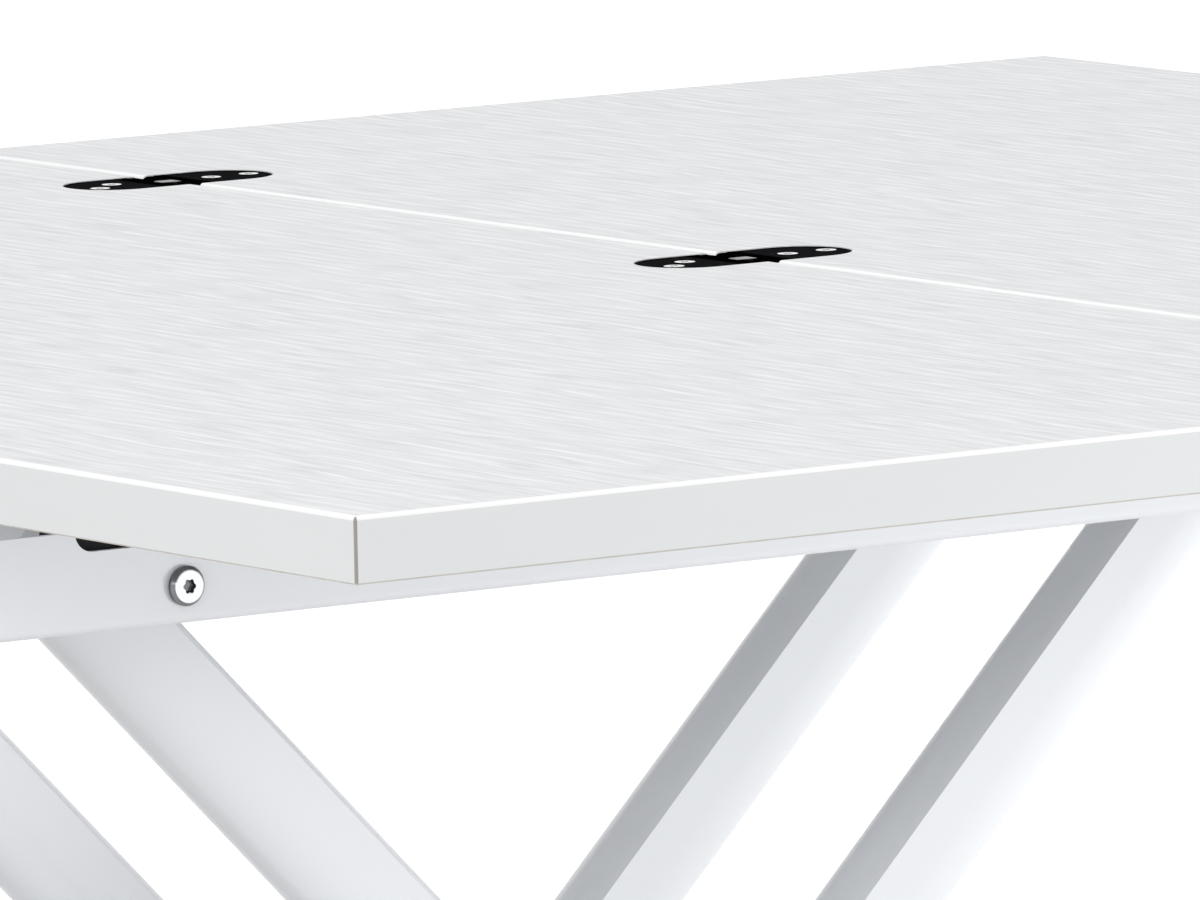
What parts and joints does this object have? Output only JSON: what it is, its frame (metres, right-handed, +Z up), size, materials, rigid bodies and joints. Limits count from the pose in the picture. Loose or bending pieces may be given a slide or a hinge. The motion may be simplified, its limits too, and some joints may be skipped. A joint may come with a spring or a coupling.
{
  "type": "convertible lift-top table",
  "caption": "Lift-top table with hinged leaves that turn and unfold over a scissor-leg frame with a gas spring, rollers in channels and floor feet.",
  "frame": {"origin": "on the floor, under the middle of the opened top", "axes": "+Z up, +X across the seam towards the leaf that folds over, +Y along the seam"},
  "size_m": [1.2, 1.2, 0.74],
  "materials": {
    "decor": "white wood-grain laminate, matt",
    "band": "smooth pale grey edge band",
    "paint": "gloss white powder coat",
    "black_plastic": "black moulded plastic",
    "black_steel": "black lacquered steel",
    "chrome": "bright chrome",
    "steel": "zinc plated steel",
    "nylon": "natural nylon"
  },
  "bodies": {
    "base": {"left_foot": "paint", "right_foot": "paint", "left_near_foot_pad": "black_plastic", "left_far_foot_pad": "black_plastic", "right_near_foot_pad": "black_plastic", "right_far_foot_pad": "black_plastic", "near_floor_rail": "paint", "far_floor_rail": "paint", "lower_pivot_shaft": "steel", "near_lower_bolt": "chrome", "far_lower_bolt": "chrome"},
    "inner_legs": {"near_inner_leg": "paint", "far_inner_leg": "paint", "near_lower_bush": "nylon", "far_lower_bush": "nylon", "near_centre_bolt": "steel", "far_centre_bolt": "steel", "inner_cross_bar": "paint", "upper_roller_axle": "steel"},
    "outer_legs": {"near_outer_leg": "paint", "far_outer_leg": "paint", "near_upper_bush": "nylon", "far_upper_bush": "nylon", "outer_cross_bar": "paint", "floor_roller_axle": "steel"},
    "upper_rollers": {"near_upper_roller": "black_plastic", "far_upper_roller": "black_plastic"},
    "floor_rollers": {"near_floor_roller": "black_plastic", "far_floor_roller": "black_plastic"},
    "gas_cylinder": {"gas_spring_cylinder": "black_steel"},
    "gas_rod": {"gas_spring_rod": "chrome"},
    "upper_frame": {"near_side_rail": "paint", "far_side_rail": "paint", "near_rail_strip": "black_plastic", "far_rail_strip": "black_plastic", "near_cross_tube": "paint", "middle_cross_tube": "paint", "far_cross_tube": "paint", "swivel_plate": "steel", "swivel_washer": "nylon", "near_glide_bar": "black_plastic", "middle_glide_bar": "black_plastic", "far_glide_bar": "black_plastic", "upper_pivot_shaft": "steel", "near_upper_bolt": "chrome", "far_upper_bolt": "chrome"},
    "near_top": {"near_leaf": "decor", "near_edge_band": "band", "near_hinge_wing_1": "black_steel", "near_hinge_wing_2": "black_steel", "near_hinge_wing_3": "black_steel", "swivel_spindle": "steel"},
    "hinge_links": {"hinge_link_1": "black_steel", "hinge_link_2": "black_steel", "hinge_link_3": "black_steel"},
    "far_top": {"far_leaf": "decor", "far_edge_band": "band", "far_hinge_wing_1": "black_steel", "far_hinge_wing_2": "black_steel", "far_hinge_wing_3": "black_steel"}
  },
  "joints": [
    {"name": "lift", "type": "hinge", "parent": "base", "child": "inner_legs", "pos_m": [-0.427, 0, 0.0426], "axis": [0, 1, 0], "range_deg": [0, 29]},
    {"name": "scissor_centre", "type": "hinge", "parent": "inner_legs", "child": "outer_legs", "pos_m": [-0.12, 0, 0.35305], "axis": [0, 1, 0], "range_deg": [-58, 0]},
    {"name": "upper_pivot", "type": "hinge", "parent": "outer_legs", "child": "upper_frame", "pos_m": [-0.427, 0, 0.6635], "axis": [0, 1, 0], "range_deg": [0, 29]},
    {"name": "gas_cylinder_pivot", "type": "hinge", "parent": "inner_legs", "child": "gas_cylinder", "pos_m": [-0.33094, 0, 0.13974], "axis": [0, 1, 0], "range_deg": [-29, 0]},
    {"name": "gas_rod_pivot", "type": "hinge", "parent": "outer_legs", "child": "gas_rod", "pos_m": [0.09094, 0, 0.13974], "axis": [0, 1, 0], "range_deg": [0, 29]},
    {"name": "upper_roller_spin", "type": "hinge", "parent": "inner_legs", "child": "upper_rollers", "pos_m": [0.187, 0, 0.6635], "axis": [0, 1, 0], "continuous": true},
    {"name": "floor_roller_spin", "type": "hinge", "parent": "outer_legs", "child": "floor_rollers", "pos_m": [0.187, 0, 0.0426], "axis": [0, 1, 0], "continuous": true},
    {"name": "top_turn", "type": "hinge", "parent": "upper_frame", "child": "near_top", "pos_m": [-0.21, 0.09, 0.715], "axis": [0, 0, 1], "range_deg": [0, 90]},
    {"name": "near_fold", "type": "hinge", "parent": "near_top", "child": "hinge_links", "pos_m": [-0.0038, 0, 0.7365], "axis": [0, -1, 0], "range_deg": [0, 90]},
    {"name": "far_fold", "type": "hinge", "parent": "hinge_links", "child": "far_top", "pos_m": [0.0038, 0, 0.7365], "axis": [0, -1, 0], "range_deg": [0, 90]}
  ],
  "couplings": [
    {"joint": "scissor_centre", "follows": "lift", "ratio": -2},
    {"joint": "upper_pivot", "follows": "lift", "ratio": 1},
    {"joint": "gas_cylinder_pivot", "follows": "lift", "ratio": -1},
    {"joint": "gas_rod_pivot", "follows": "lift", "ratio": 1}
  ]
}
